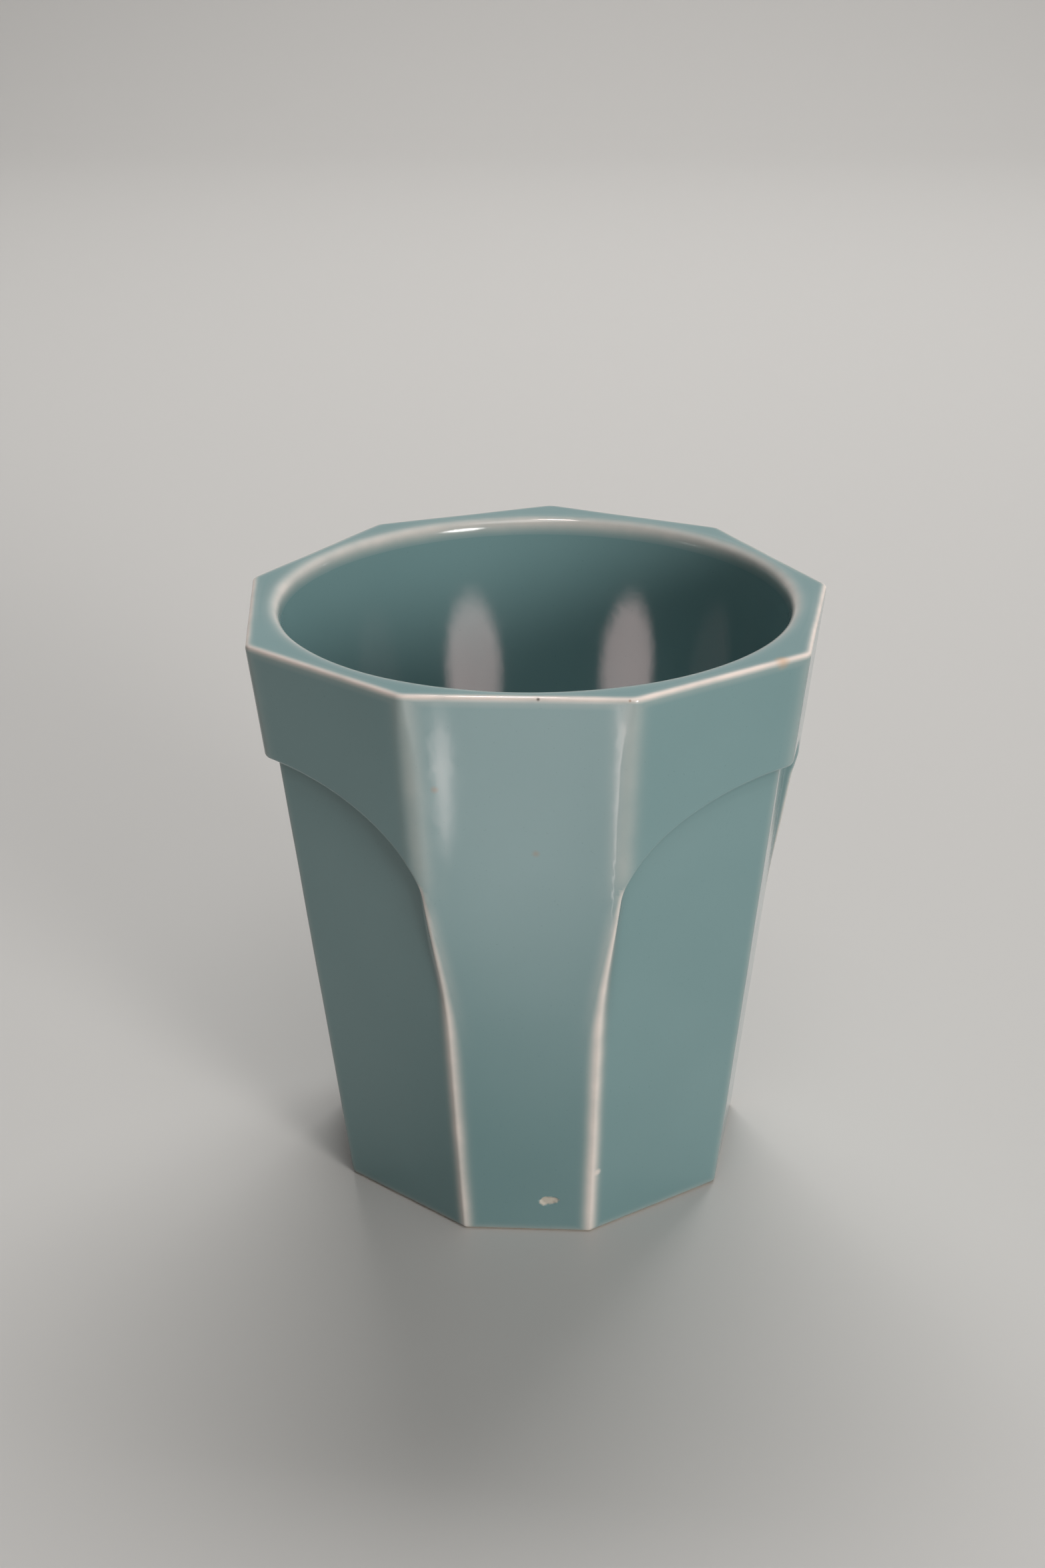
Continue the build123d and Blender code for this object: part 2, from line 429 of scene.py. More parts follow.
def row_stations():
    """Rows from the well's seam, over the lip and down to the foot.

    Each row is its place across the lip (0 outside, 1 at the mouth), its height where it
    is level, how far it follows the arch (0 for a level row), and how far above it."""
    top, seam = HEIGHT, LINER_TOP_Z
    mouth_down = stations((seam, top - 1.7, 0.45), (top - 1.7, top, 0.26))
    inner_lip = LIP_SPAN - 1.0
    lip = stations((0, 1.7, 0.26), (1.7, inner_lip, 0.65), (inner_lip, LIP_SPAN, 0.19))
    collar_top = stations(
        (top, top - 1.1, 0.18), (top - 1.1, top - 4, 0.95), (top - 4, COLLAR_ROWS_Z, 1.9))
    rows = [(1.0, z, 0.0, 0.0) for z in mouth_down]
    rows += [(1 - across / LIP_SPAN, top, 0.0, 0.0) for across in lip[1:]]
    rows += [(0.0, z, 0.0, 0.0) for z in collar_top[1:]]
    for offset in stations((GUIDED_REACH, -GUIDED_REACH, 0.2)):
        rows.append((0.0, 0.0, 1.0, offset))
    for share in stations((1, 0, 0.1))[1:]:
        rows.append((0.0, LEVEL_Z, share, -GUIDED_REACH))
    low = stations(
        (LEVEL_Z, 46.0, 1.3), (46.0, FOOT_ROWS_Z, 2.6), (FOOT_ROWS_Z, DRY_FOOT_Z, 0.25))
    rows += [(0.0, z, 0.0, 0.0) for z in low[1:]]
    return rows


def guide_height(side):
    """Height of the rows that follow the arch, which level off before its springing."""
    under = np.maximum(1 - (side / ARCH_HALF_WIDTH) ** 2, 0)
    arch = ARCH_SPRING_Z + ARCH_RISE * np.sqrt(under)
    return soft_max(arch, np.full_like(arch, GUIDE_LOW_Z), 3.0)


def upper(side, z):
    """Outward distance of the blank's faces, with sharp corners."""
    arch = (arch_apothem(z) - side * SIN_ARCH) / COS_ARCH
    return np.minimum(arch, (pier_apothem(z) - side * SIN_PIER) / COS_PIER)


def lower(side, z):
    """Outward distance of the sunk faces, or of the blank's where those stand clear."""
    return np.minimum(upper(side, z), (sunk_apothem(z) - side * SIN_ARCH) / COS_ARCH)


def stepped(side, z):
    """Grid points spread along the step at the arch, as sideways, outward and height."""
    reach = STEP_REACH
    d = arch_distance(side, z, 0)
    aim_side, aim_z = arch_slopes(side, z, 0)
    edge_side, edge_z = side - d * aim_side, z - d * aim_z
    edge_out = upper(edge_side, edge_z)

    # From the step's edge to its foot, inwards and a little towards the arch's middle
    pier = on_pier(edge_side, edge_out, edge_z)
    face_side = SIN_ARCH * np.minimum(edge_side / 3, 1) + pier * (SIN_PIER - SIN_ARCH)
    face_out = COS_ARCH + pier * (COS_PIER - COS_ARCH)
    depth = edge_out * COS_ARCH + edge_side * SIN_ARCH - sunk_apothem(edge_z)
    depth = np.maximum(depth, 0) / (face_side * SIN_ARCH + face_out * COS_ARCH)
    depth = depth * (np.abs(d) < reach)
    lean = aim_side * face_side
    drift = depth * math.tan(WALL_DRAFT) / np.sqrt(1 - lean * lean)
    foot_side = -face_side * depth - (aim_side - lean * face_side) * drift
    foot_out = -face_out * depth + lean * face_out * drift
    foot_z = -aim_z * drift

    share = STEP_SHARE * depth
    foot_d = foot_side * aim_side + foot_z * aim_z
    stretch = reach / (reach - share)
    squeeze = (reach + foot_d) / (reach - share)
    beyond = np.maximum(np.abs(d) - share, 0)
    moved = np.where(d > 0, beyond * stretch, foot_d - beyond * squeeze)
    moved = np.where(np.abs(d) < reach, moved, d)
    new_side, new_z = edge_side + moved * aim_side, edge_z + moved * aim_z
    new_out = np.where(d > 0, upper(new_side, new_z), lower(new_side, new_z))

    on_wall = np.abs(d) < share
    down = np.clip(0.5 - d / np.maximum(2 * share, 1e-6), 0, 1)
    new_side = np.where(on_wall, edge_side + down * foot_side, new_side)
    new_out = np.where(on_wall, edge_out + down * foot_out, new_out)
    new_z = np.where(on_wall, edge_z + down * foot_z, new_z)
    return new_side, new_out, new_z


def coat_grid():
    """Starting points of the outer coat, as rows by columns by 3, and the level rows."""
    shares = column_shares()
    rows = row_stations()
    folded = np.zeros((len(rows), len(shares), 3))
    reference = shares.clip(0, 1) * ARCH_HALF_WIDTH + (shares > 1) * (shares - 1) * PIER_SPAN
    for index, (across, height, follow, offset) in enumerate(rows):
        guided = guide_height(reference) + offset
        z = height * (1 - follow) + guided * follow if follow else np.full(len(shares), height)
        side, out, z = stepped(sideways(shares, z), z)
        if across > 0:
            turn = np.arctan2(side, out)
            radius = MOUTH_RADIUS - (HEIGHT - z) * WELL_SLOPE
            side = side + (radius * np.sin(turn) - side) * across
            out = out + (radius * np.cos(turn) - out) * across
        folded[index] = np.stack([side, out, z], axis=1)
    sectors = []
    for middle in ARCH_MIDDLES:
        for way in (-1, 1):
            half = folded[:, ::-1] if way < 0 else folded
            half = half[:, :-1]
            side, out, z = half[..., 0] * way, half[..., 1], half[..., 2]
            x = out * math.cos(middle) - side * math.sin(middle)
            y = out * math.sin(middle) + side * math.cos(middle)
            sectors.append(np.stack([x, y, z], axis=2))
    grid = np.concatenate(sectors, axis=1)
    level = np.zeros(grid.shape[:2], bool)
    level[0] = level[-1] = True
    return grid, level


def grid_faces(rows, columns, first=0, flip=False):
    """Quads of a grid that closes round its columns."""
    index = first + np.arange(rows * columns).reshape(rows, columns)
    after = np.roll(index, -1, axis=1)
    quads = np.stack([index[:-1], index[1:], after[1:], after[:-1]], axis=2).reshape(-1, 4)
    return quads[:, ::-1] if flip else quads


def ring_faces(ring_a, ring_b):
    """Quads between two closed rings with the same count."""
    return np.stack([ring_a, np.roll(ring_a, -1), np.roll(ring_b, -1), ring_b], axis=1)


def mesh_piece(name, points, faces, normals, attributes):
    """A smooth piece from points in millimetres, with its own normals and shading values."""
    mesh = bpy.data.meshes.new(name)
    mesh.from_pydata((points * MM).tolist(), [], faces)
    mesh.update()
    mesh.shade_smooth()
    for key, values in attributes.items():
        layer = mesh.attributes.new(key, "FLOAT", "POINT")
        layer.data.foreach_set("value", np.asarray(values, np.float32))
    mesh.normals_split_custom_set_from_vertices(normals.tolist())
    piece = bpy.data.objects.new(name, mesh)
    bpy.context.scene.collection.objects.link(piece)
    return piece


# ------------------------------------------------------------------ where the glaze breaks, painted highlights and painted shade
def bump_of(distance, width):
    """1 on a line and falling off either side of it."""
    return np.exp(-((distance / width) ** 2))


def line(distance, width_and_strength):
    """How pale a broken edge makes the glaze at a distance from it."""
    width, strength = width_and_strength
    return strength * bump_of(distance, width)


def pale_lines_and_shade(points):
    """How thin and pale the glaze is at each point, with some pale bands that are painted highlight,
    and how much darker it is made: painted shade towards the foot, and darker along the inner corner
    of each recess.
    """
    side, out, z = fold(points)
    lip = z - HEIGHT
    form = carved(points, 0)
    mouth = -well_distance(points, 0)
    pier = pier_face(side, out, z, 0)
    arch = faces_of_arch(side, out, arch_apothem(z), COLLAR_CORNER_RADIUS)
    near = out * COS_ARCH + side * SIN_ARCH - arch_apothem(z)
    far = out * COS_ARCH - side * SIN_ARCH - arch_apothem(z)
    filled = -pocket(side, out, z, 0)
    core = out * COS_ARCH + side * SIN_ARCH - sunk_apothem(z)
    core_far = out * COS_ARCH - side * SIN_ARCH - sunk_apothem(z)
    at_mouth = (mouth > -3.2) & (lip > -3.2)

    # Where each line may show
    free = 1 - soft_step(ARCH_SPRING_Z + 1.0, ARCH_SPRING_Z + 3.5, z)
    low = 1 - soft_step(ARCH_SPRING_Z - 5.0, ARCH_SPRING_Z + 6.0, z)
    fading = low * soft_step(32.0, 58.0, z)
    beside_pier = pier > arch - 0.4
    skin = blank(side, out, z, 0)
    on_collar = soft_step(-0.6, -0.2, skin - filled)
    collar_face = on_collar * soft_step(-1.0, -0.3, skin)

    # Pale lines where the glaze breaks; the lip's and the collar's are partly painted highlight
    pale = np.maximum.reduce([
        line(form - lip, LIP_LINE) * (mouth < -0.7),
        line(mouth - lip - 0.5, MOUTH_LINE) * at_mouth,
        line(pier - filled - 0.05, PIER_LINE) * free * beside_pier,
        line(pier - filled - 0.7, PIER_BAND) * fading * beside_pier,
        line(pier - arch - 0.35, COLLAR_LINE) * collar_face * (1 - low),
        line(near - far, MIDDLE_LINE) * collar_face,
        line(core - core_far, SUNK_LINE) * (1 - on_collar),
        line(z - 0.2, FOOT_LINE),
    ])
    # Darker along the inner corner of the step round each arch, plus painted shade that grows towards
    # the foot
    under_arch = np.minimum(arch_distance(side, z, 0), 0)
    corner = bump_of(under_arch, 1.6) * bump_of(core, 0.9)
    darkening = corner * (1 - on_collar) + FOOT_SHADE * (1 - soft_step(0, 75, z))
    return np.clip(pale, 0, 1), np.clip(darkening, 0, 1)


def refine_chip(points, faces, on_skin):
    """Split the quads of the fired surface near the chip. Old points keep their numbers."""
    mesh = bpy.data.meshes.new("coarse")
    mesh.from_pydata(points.tolist(), [], faces)
    made = bmesh.new()
    made.from_mesh(mesh)
    place = np.array([CHIP_X, -pier_apothem(CHIP_Z), CHIP_Z])
    near = np.linalg.norm((points - place) / CHIP_REGION, axis=1) < 1
    made.verts.ensure_lookup_table()
    chosen = {made.verts[i] for i in np.flatnonzero(near & on_skin)}
    edges = {edge for vert in chosen for edge in vert.link_edges if chosen.issuperset(edge.verts)}
    bmesh.ops.subdivide_edges(made, edges=list(edges), cuts=CHIP_CUTS, use_grid_fill=True)
    made.to_mesh(mesh)
    made.free()
    fine = np.zeros(len(mesh.vertices) * 3, np.float32)
    mesh.vertices.foreach_get("co", fine)
    fine = fine.reshape(-1, 3).astype(float)
    fine[:len(points)] = points
    fine_faces = [list(face.vertices) for face in mesh.polygons]
    bpy.data.meshes.remove(mesh)
    return fine, fine_faces


def outer_coat():
    """The closed outer coat: the fired surface, and the side that lies on the clay."""
    grid, level = coat_grid()
    rows, columns = level.shape
    level = level.ravel()
    skin = draw_on(coat_form, grid.reshape(-1, 3), level)
    start = skin - unit(gradient(coat_form, skin)) * GLAZE
    start[level, 2] = skin[level, 2]

    def under_form(points):
        return coat_form(points, GLAZE)

    under = draw_on(under_form, start, level)
    count = rows * columns
    top_ring = np.arange(columns)
    low_ring = top_ring + count - columns
    faces = np.concatenate([
        grid_faces(rows, columns),
        grid_faces(rows, columns, count, flip=True),
        ring_faces(top_ring, top_ring + count),
        ring_faces(low_ring + count, low_ring),
    ])
    on_skin = np.arange(2 * count) < count
    points, faces = refine_chip(np.concatenate([skin, under]), faces.tolist(), on_skin)
    number = np.arange(len(points))
    inner = (number >= count) & (number < 2 * count)
    fresh = number >= 2 * count
    points[fresh] = draw_on(coat_form, points[fresh], np.zeros(fresh.sum(), bool))
    normals = unit(gradient(coat_form, points))
    normals[inner] = -unit(gradient(under_form, points[inner]))
    # pale lines, partly painted highlight, and darkening, partly painted shade, on the fired surface
    # only
    pale, darkening = pale_lines_and_shade(points)
    pale[inner] = darkening[inner] = 0
    return mesh_piece("outer_glaze_coat", points, faces, normals, {"pale": pale, "darkening": darkening})


# -------------------------------------------------------------------------- the well's coat
def well_profile(inset):
    """Radius and height along the well, from the middle of its floor up to its seam."""
    floor = WELL_FLOOR_Z - inset
    turn = math.atan(WELL_SLOPE)
    wall_foot = WELL_FLOOR_RADIUS + inset
    bend = WELL_CORNER_RADIUS + inset
    centre_r = wall_foot - bend * math.tan((RIGHT_ANGLE - turn) / 2)
    steps = stations((0, 1, 1 / 14))
    angles = -RIGHT_ANGLE + steps * (RIGHT_ANGLE - turn)
    arc = [(centre_r + bend * math.cos(a), floor + bend + bend * math.sin(a)) for a in angles]
    flat = [(r, floor) for r in stations((0.6, centre_r, 1.6))[:-1]]
    start_r, start_z = arc[-1]
    end_r = MOUTH_RADIUS - (HEIGHT - LINER_TOP_Z) * WELL_SLOPE + inset
    rise = stations((0, 1, 1 / 48))[1:]
    wall = [(start_r + (end_r - start_r) * t, start_z + (LINER_TOP_Z - start_z) * t) for t in rise]
    return np.array(flat + arc + wall)


def turned(profile, columns):
    """Points of a profile turned round the axis, rows by columns."""
    around = np.linspace(0, 2 * math.pi, columns, endpoint=False)
    radius, z = profile[:, 0][:, None], profile[:, 1][:, None]
    x, y = radius * np.cos(around), radius * np.sin(around)
    return np.stack([x, y, np.broadcast_to(z, x.shape)], axis=2).reshape(-1, 3)


def profile_normals(profile, columns):
    """Normals of a turned profile, towards the axis and up."""
    slope = np.gradient(profile, axis=0)
    around = np.linspace(0, 2 * math.pi, columns, endpoint=False)
    towards = -slope[:, 1][:, None]
    up = np.broadcast_to(slope[:, 0][:, None], (len(profile), columns))
    return unit(np.stack(
        [towards * np.cos(around), towards * np.sin(around), up], axis=2).reshape(-1, 3))


def liner_coat(columns=288):
    """The closed coat in the well."""
    profile, back = well_profile(0), well_profile(GLAZE)
    normals = profile_normals(profile, columns)
    skin = turned(profile, columns)
    skin = skin + normals * sway(skin)[:, None]
    under = turned(back, columns)
    under_normals = -profile_normals(back, columns)
    rows = len(profile)
    count = rows * columns
    seam = np.arange(columns) + count - columns
    centres = np.array([[0, 0, WELL_FLOOR_Z + SWAY_DEPTH / 2], [0, 0, WELL_FLOOR_Z - GLAZE]])
    ring = np.arange(columns)
    caps = [[2 * count, a, b] for a, b in zip(ring, np.roll(ring, -1))]
    caps += [[2 * count + 1, b + count, a + count] for a, b in zip(ring, np.roll(ring, -1))]
    quads = np.concatenate([
        grid_faces(rows, columns),
        grid_faces(rows, columns, count, flip=True),
        ring_faces(seam + count, seam),
    ]).tolist()
    points = np.concatenate([skin, under, centres])
    all_normals = np.concatenate([normals, under_normals, [[0, 0, 1], [0, 0, -1]]])
    darkening = WELL_FLOOR_DARKENING * (1 - soft_step(5, 14, points[:, 2]))
    shading = {"pale": np.zeros(len(points)), "darkening": darkening}
    return mesh_piece("well_glaze_coat", points, quads + caps, all_normals, shading)


# ------------------------------------------------------------------------------- materials
def new_material(name):
    """A material, with its nodes, links and main shader."""
    material = bpy.data.materials.new(name)
    material.use_nodes = True
    nodes = material.node_tree.nodes
    return material, nodes, material.node_tree.links, nodes["Principled BSDF"]


def node(nodes, kind, **settings):
    """A node with its inputs and settings given by name."""
    made = nodes.new(kind)
    for key, value in settings.items():
        if key in made.inputs:
            made.inputs[key].default_value = value
        else:
            setattr(made, key, value)
    return made


def feed(links, value, socket):
    """Give an input its value: an output socket, an RGB triple or the value itself."""
    if isinstance(value, bpy.types.NodeSocket):
        links.new(value, socket)
    elif socket.type == "RGBA":
        socket.default_value = (*value, 1)
    else:
        socket.default_value = value


def mix_colour(nodes, links, factor, low, high):
    """Mix of two colours, each a socket or an RGB triple, by a socket or a number."""
    mix = nodes.new("ShaderNodeMix")
    mix.data_type = "RGBA"
    for value, socket in zip((factor, low, high), (mix.inputs[0], mix.inputs[6], mix.inputs[7])):
        feed(links, value, socket)
    return mix.outputs[2]


def combined(nodes, links, kind, operation, *values):
    """Number that a maths node makes of sockets or values."""
    made = nodes.new(kind)
    made.operation = operation
    for value, socket in zip(values, made.inputs):
        feed(links, value, socket)
    return made.outputs["Value"]


def noise_maker(nodes, links, place):
    """A function that gives the strength of a noise pattern, from its scale and detail."""
    def noise(scale, detail=2.0):
        made = node(nodes, "ShaderNodeTexNoise", Scale=scale, Detail=detail)
        links.new(place, made.inputs["Vector"])
        return made.outputs["Fac"]

    return noise


def scaled(nodes, links, value, from_low, from_high, to_low, to_high):
    """A value carried from one range to another, clamped."""
    ranged = nodes.new("ShaderNodeMapRange")
    links.new(value, ranged.inputs["Value"])
    for name, number in (("From Min", from_low), ("From Max", from_high),
                         ("To Min", to_low), ("To Max", to_high)):
        ranged.inputs[name].default_value = number
    return ranged.outputs["Result"]


def glaze_material(name, base, deep, light, spots=(), chipped=False):
    """Glossy celadon: pale where it is thin, with some pale bands that are painted highlight, darker
    by a shading value that is partly painted shade, with fine specks.
    """
    material, nodes, links, shader = new_material(name)
    place = nodes.new("ShaderNodeTexCoord").outputs["Object"]
    noise = noise_maker(nodes, links, place)

    cloud = scaled(nodes, links, noise(30.0), 0.3, 0.7, 0, 1)
    body = mix_colour(nodes, links, cloud, base, light)
    speckle = scaled(nodes, links, noise(2600.0, 1.0), 0.72, 0.78, 0, 0.25)
    body = mix_colour(nodes, links, speckle, body, deep)

    # darker where the mesh says so: painted shade towards the foot, and a darker recess corner and
    # well floor
    darkening = node(nodes, "ShaderNodeAttribute", attribute_name="darkening").outputs["Fac"]
    body = mix_colour(nodes, links, darkening, body, deep)

    # pale lines: glaze breaks, the lip's and the collar's partly painted highlight
    pale = node(nodes, "ShaderNodeAttribute", attribute_name="pale").outputs["Fac"]
    uneven = scaled(nodes, links, noise(160.0, 3.0), 0.3, 0.7, 0.85, 1.15)
    strength = combined(nodes, links, "ShaderNodeMath", "MULTIPLY", pale, uneven)
    strength.node.use_clamp = True
    body = mix_colour(nodes, links, strength, body, CREAM)
    for centre, radius, soft, amount, colour in spots:
        body = spotted(nodes, links, place, body, centre, radius, soft, amount, colour)
    if chipped:
        body = chipped_through(nodes, links, place, body, noise(900.0, 3.0))

    links.new(body, shader.inputs["Base Color"])
    links.new(scaled(nodes, links, noise(220.0), 0.3, 0.7, 0.07, 0.11), shader.inputs["Roughness"])
    shader.inputs["IOR"].default_value = 1.5
    bump = node(nodes, "ShaderNodeBump", Strength=0.03, Distance=0.0004)
    links.new(noise(420.0), bump.inputs["Height"])
    links.new(bump.outputs["Normal"], shader.inputs["Normal"])
    return material


def spotted(nodes, links, place, body, centre, radius, soft, amount, colour):
    """A round spot of another colour at a place, with a soft edge. Sizes are in mm."""
    middle = Vector(centre) * MM
    away = combined(nodes, links, "ShaderNodeVectorMath", "DISTANCE", place, middle)
    near, far = (radius - soft) * MM, (radius + soft) * MM
    factor = scaled(nodes, links, away, near, far, amount, 0)
    return mix_colour(nodes, links, factor, body, colour)


def chipped_through(nodes, links, place, body, noise):
    """Bare clay inside the chip's ragged outline."""
    local = nodes.new("ShaderNodeMapping")
    local.vector_type = "TEXTURE"
    links.new(place, local.inputs["Vector"])
    local.inputs["Location"].default_value = Vector((CHIP_X, -pier_apothem(CHIP_Z), CHIP_Z)) * MM
    local.inputs["Rotation"].default_value = (0, -CHIP_TILT, 0)
    local.inputs["Scale"].default_value = Vector((CHIP_HALF_WIDTH, CHIP_REACH, CHIP_HALF_HEIGHT)) * MM
    size = combined(nodes, links, "ShaderNodeVectorMath", "LENGTH", local.outputs["Vector"])
    uneven = scaled(nodes, links, noise, 0.3, 0.7, -0.22, 0.22)
    ragged = combined(nodes, links, "ShaderNodeMath", "ADD", size, uneven)
    factor = scaled(nodes, links, ragged, 0.70, 0.95, 0.88, 0)
    return mix_colour(nodes, links, factor, body, CLAY_TONE)


def bisque_material():
    """Matt unglazed clay at the foot: warm, slightly sandy."""
    material, nodes, links, shader = new_material("bisque")
    noise = noise_maker(nodes, links, nodes.new("ShaderNodeTexCoord").outputs["Object"])
    tone = scaled(nodes, links, noise(90.0, 4.0), 0.3, 0.7, 0, 1)
    body = mix_colour(nodes, links, tone, CLAY_DARK, CLAY_LIGHT)
    sand = scaled(nodes, links, noise(1600.0), 0.62, 0.72, 0, 0.5)
    body = mix_colour(nodes, links, sand, body, SAND)
    links.new(body, shader.inputs["Base Color"])
    shader.inputs["Roughness"].default_value = 0.85
    bump = node(nodes, "ShaderNodeBump", Strength=0.35, Distance=0.0003)
    links.new(noise(1400.0, 4.0), bump.inputs["Height"])
    links.new(bump.outputs["Normal"], shader.inputs["Normal"])
    return material


def dress(piece, material):
    piece.data.materials.clear()
    piece.data.materials.append(material)


# ----------------------------------------------------------------------- stage and lights
def evened_out(nodes, links, shader):
    """Show the camera, and nothing else, an even tone where the key light burns the floor."""
    place = nodes.new("ShaderNodeTexCoord").outputs["Object"]
    towards_key = Vector((KEY_PLACE[0], KEY_PLACE[1], 0)).normalized()
    lit_side = combined(nodes, links, "ShaderNodeVectorMath", "DOT_PRODUCT", place, towards_key)
    burnt = scaled(nodes, links, lit_side, *BURNT_FLOOR, 0, 1)
    burnt.node.interpolation_type = "SMOOTHSTEP"
    seen = nodes.new("ShaderNodeLightPath").outputs["Is Camera Ray"]
    share = combined(nodes, links, "ShaderNodeMath", "MULTIPLY", burnt, seen)
    even = node(nodes, "ShaderNodeEmission", Color=(*SURROUND_TONE, 1), Strength=SURROUND_SEEN)
    mixed = nodes.new("ShaderNodeMixShader")
    for value, socket in zip((share, shader.outputs[0], even.outputs[0]), mixed.inputs):
        links.new(value, socket)
    links.new(mixed.outputs[0], nodes["Material Output"].inputs["Surface"])


def studio_floor():
    """A pale floor that curves up into a backdrop."""
    reach, bend, back, steps = 2.5, 0.35, 1.1, 12
    profile = [(-reach, 0.0), (back, 0.0)]
    for step in range(1, steps + 1):
        angle = RIGHT_ANGLE * step / steps
        profile.append((back + bend * math.sin(angle), bend - bend * math.cos(angle)))
    profile.append((back + bend, reach))
    points, faces = [], []
    for y, z in profile:
        points += [(-reach, y, z), (reach, y, z)]
    for index in range(len(profile) - 1):
        start = 2 * index
        faces.append((start, start + 1, start + 3, start + 2))
    mesh = bpy.data.meshes.new("floor")
    mesh.from_pydata(points, [], faces)
    mesh.shade_smooth()
    floor = bpy.data.objects.new("floor", mesh)
    bpy.context.scene.collection.objects.link(floor)
    material, nodes, links, shader = new_material("pale_floor")
    shader.inputs["Base Color"].default_value = (*FLOOR_TONE, 1)
    shader.inputs["Roughness"].default_value = 0.45
    evened_out(nodes, links, shader)
    dress(floor, material)


def soft_box(name, place, target, width, height, power, colour=(1, 1, 1)):
    """An area light that faces a point."""
    data = bpy.data.lights.new(name, "AREA")
    data.shape = "RECTANGLE"
    data.size, data.size_y = width, height
    data.energy = power
    data.color = colour
    light = bpy.data.objects.new(name, data)
    bpy.context.scene.collection.objects.link(light)
    light.location = place
    light.rotation_euler = (Vector(target) - Vector(place)).to_track_quat("-Z", "Y").to_euler()
    return light


def faded(light, solid):
    """Make a light shine evenly out to the solid share of its size, and fade to its edge."""
    light.data.shape = "ELLIPSE"
    light.data.use_nodes = True
    nodes, links = light.data.node_tree.nodes, light.data.node_tree.links
    across = nodes.new("ShaderNodeNewGeometry").outputs["Parametric"]
    from_middle = combined(
        nodes, links, "ShaderNodeVectorMath", "DISTANCE", across, (0.5, 0.5, 0.0))
    share = scaled(nodes, links, from_middle, solid / 2, 0.5, 1, 0)
    share.node.interpolation_type = "SMOOTHSTEP"
    links.new(share, nodes["Emission"].inputs["Strength"])


def studio_lights():
    """A soft key from the front right, one light behind, one above, and a dim surround."""
    middle = Vector((0, 0, HEIGHT * MM * 0.6))
    key = soft_box("key", KEY_PLACE, middle, width=0.6, height=0.6, power=22.5, colour=KEY_TONE)
    faded(key, solid=0.3)
    back = soft_box("back", BACK_PLACE, middle, width=1.2, height=0.6, power=20.0)
    back.visible_glossy = False
    top = soft_box("top", TOP_PLACE, middle, width=1.0, height=1.0, power=8.0)
    faded(top, solid=0.3)
    world = bpy.data.worlds.new("studio")
    world.use_nodes = True
    nodes, links = world.node_tree.nodes, world.node_tree.links
    nodes["Background"].inputs["Color"].default_value = (*SURROUND_TONE, 1)
    seen = nodes.new("ShaderNodeLightPath").outputs["Is Camera Ray"]
    strength = scaled(nodes, links, seen, 0, 1, SURROUND_FELT, SURROUND_SEEN)
    links.new(strength, nodes["Background"].inputs["Strength"])
    bpy.context.scene.world = world


def well_point(turn, z):
    """A place on the well's wall, in metres, and its normal. The turn is from +Y, in degrees."""
    angle = math.radians(turn)
    radius = MOUTH_RADIUS - (HEIGHT - z) * WELL_SLOPE
    place = Vector((-radius * math.sin(angle), radius * math.cos(angle), z)) * MM
    return place, Vector((math.sin(angle), -math.cos(angle), WELL_SLOPE)).normalized()


def front_point(x, z):
    """A place on the front pier's face, in metres, and its normal."""
    slope = RIM_PIER_APOTHEM * (1 - BASE_SCALE) / HEIGHT
    return Vector((x, -pier_apothem(z), z)) * MM, Vector((0, -1, -slope)).normalized()


def mouth_point(turn, lean=50.0):
    """A place on the mouth's rounded edge, in metres, and its normal, which leans up."""
    angle, up = math.radians(turn), math.radians(lean)
    inwards = Vector((math.sin(angle), -math.cos(angle), 0))
    normal = inwards * math.cos(up) + Vector((0, 0, math.sin(up)))
    centre = -inwards * (MOUTH_RADIUS + MOUTH_EDGE_RADIUS)
    centre.z = HEIGHT - MOUTH_EDGE_RADIUS
    return (centre + normal * MOUTH_EDGE_RADIUS) * MM, normal


def glint(name, spot, distance, size, radiance, solid=0.4, colour=GLINT_TONE):
    """A card that the camera sees only as a soft mirror image at a spot. Sizes are in mm."""
    place, normal = spot
    width, height = size[0] * MM, size[1] * MM
    eye = bpy.context.scene.camera.matrix_world.translation
    away = (place - eye).normalized().reflect(normal)
    power = radiance * math.pi * (math.pi / 4 * width * height)
    card = soft_box(name, place + away * distance * MM, place, width, height, power, colour)
    faded(card, solid)
    card.visible_camera = False
    card.visible_diffuse = False


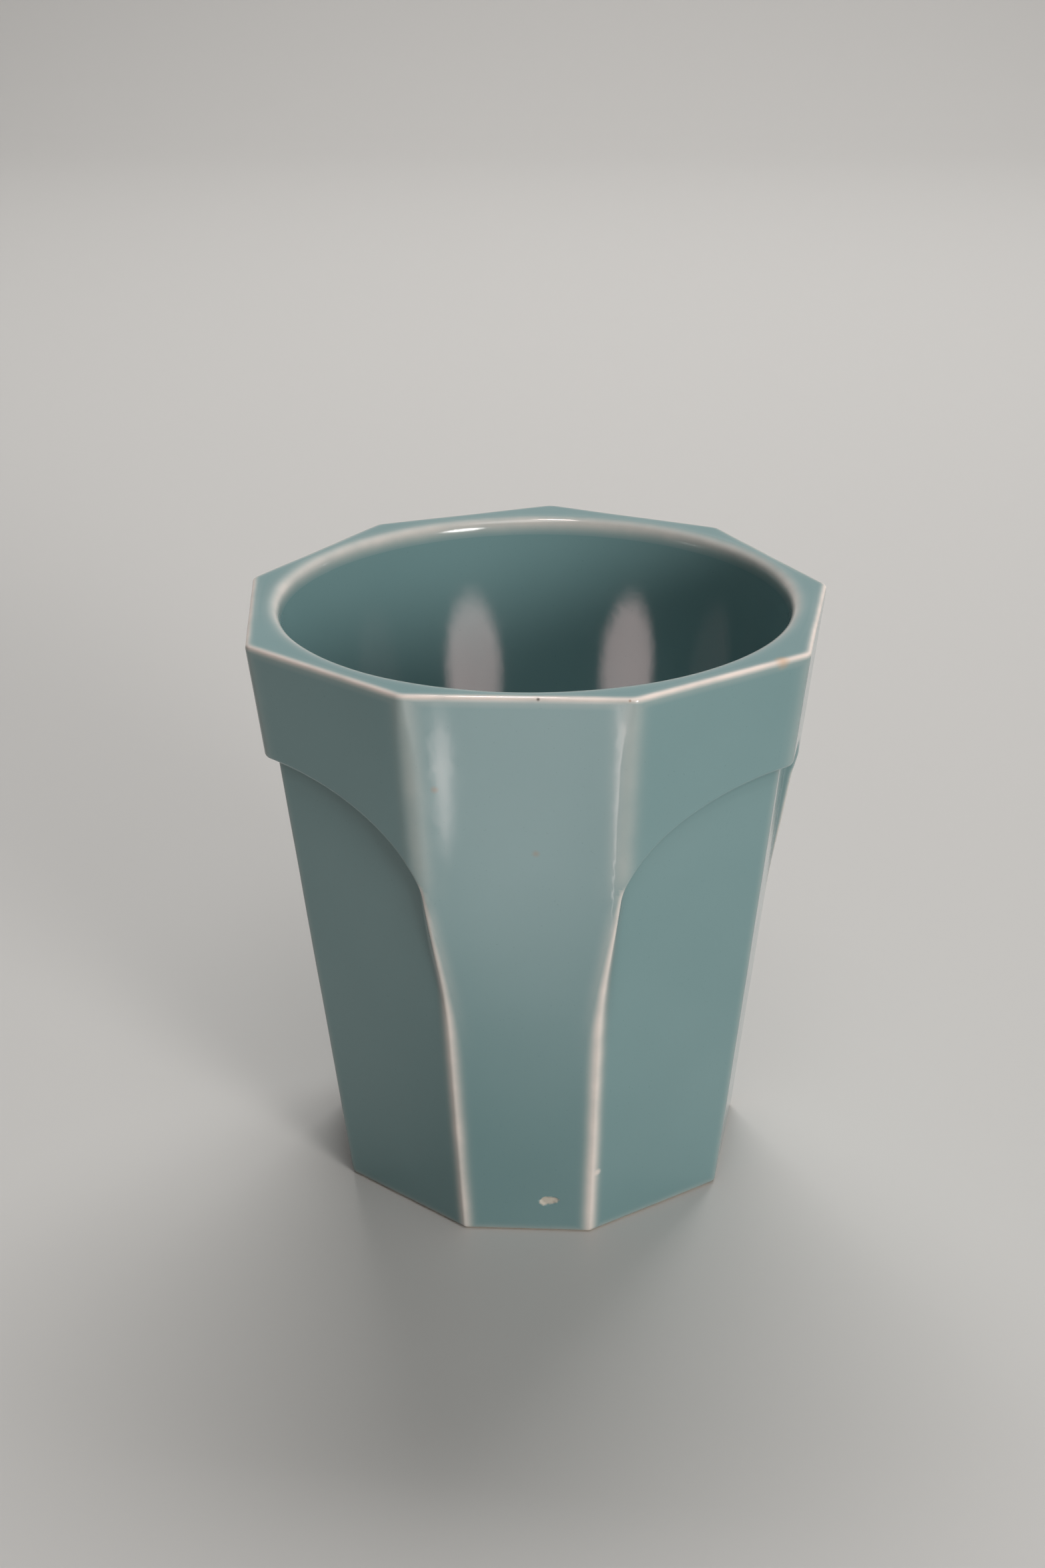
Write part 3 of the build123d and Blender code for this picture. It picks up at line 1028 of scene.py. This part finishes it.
def glints():
    """Window reflections: in the well, on the mouth's edge and on the front pier."""
    for name, turn in (("well_left", 20.6), ("well_right", -22.4)):
        glint(name, well_point(turn, z=73.5), distance=60, size=(24, 36), radiance=5.0,
              solid=0.6, colour=WINDOW_TONE)
    glint("mouth_right", mouth_point(-2.0), distance=300, size=(50, 50), radiance=60.0)
    glint("pier_streak", front_point(-11.4, 86.0), distance=55, size=(4.6, 34), radiance=5.6,
          solid=0.2)
    glint("pier_line", front_point(14.9, 82.0), distance=55, size=(2.0, 60), radiance=6.0,
          solid=0.3)
    glint("pier_haze", front_point(1.0, 92.0), distance=60, size=(90, 150), radiance=2.0,
          solid=0.1, colour=HAZE_TONE)


def studio_camera():
    """Camera in front of the pot and above it, looking down into the mouth a little."""
    pitch, roll, yaw = math.radians(23.82), math.radians(-0.55), math.radians(-3.77)
    place = Vector((-2.33, -358.94, 224.90)) * MM
    right = Vector((1, 0, 0))
    forward = Vector((0, math.cos(pitch), -math.sin(pitch)))
    down = Vector((0, -math.sin(pitch), -math.cos(pitch)))
    cam_x = math.cos(roll) * right - math.sin(roll) * down
    cam_y = -(math.sin(roll) * right + math.cos(roll) * down)
    turn = Matrix.Rotation(-yaw, 3, "Z")
    axes = Matrix([turn @ cam_x, turn @ cam_y, turn @ -forward]).transposed()
    data = bpy.data.cameras.new("camera")
    data.lens = 53.57
    data.sensor_width = 36.0
    camera = bpy.data.objects.new("camera", data)
    bpy.context.scene.collection.objects.link(camera)
    camera.matrix_world = Matrix.Translation(turn @ place) @ axes.to_4x4()
    bpy.context.scene.camera = camera


# -------------------------------------------------------------------------------- assembly
coat = outer_coat()
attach(coat, "root")
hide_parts("outer_glaze")
dress(coat, glaze_material(
    "celadon_glaze", CELADON, CELADON_DEEP, CELADON_LIGHT, FLAWS, chipped=True))

lining = liner_coat()
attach(lining, "root")
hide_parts("liner_glaze")
dress(lining, glaze_material("well_glaze", CELADON, CELADON_DEEP, CELADON_LIGHT))

dress(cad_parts["clay_body"], bisque_material())

studio_floor()
studio_camera()
studio_lights()
glints()
bpy.context.scene.view_settings.view_transform = "Standard"
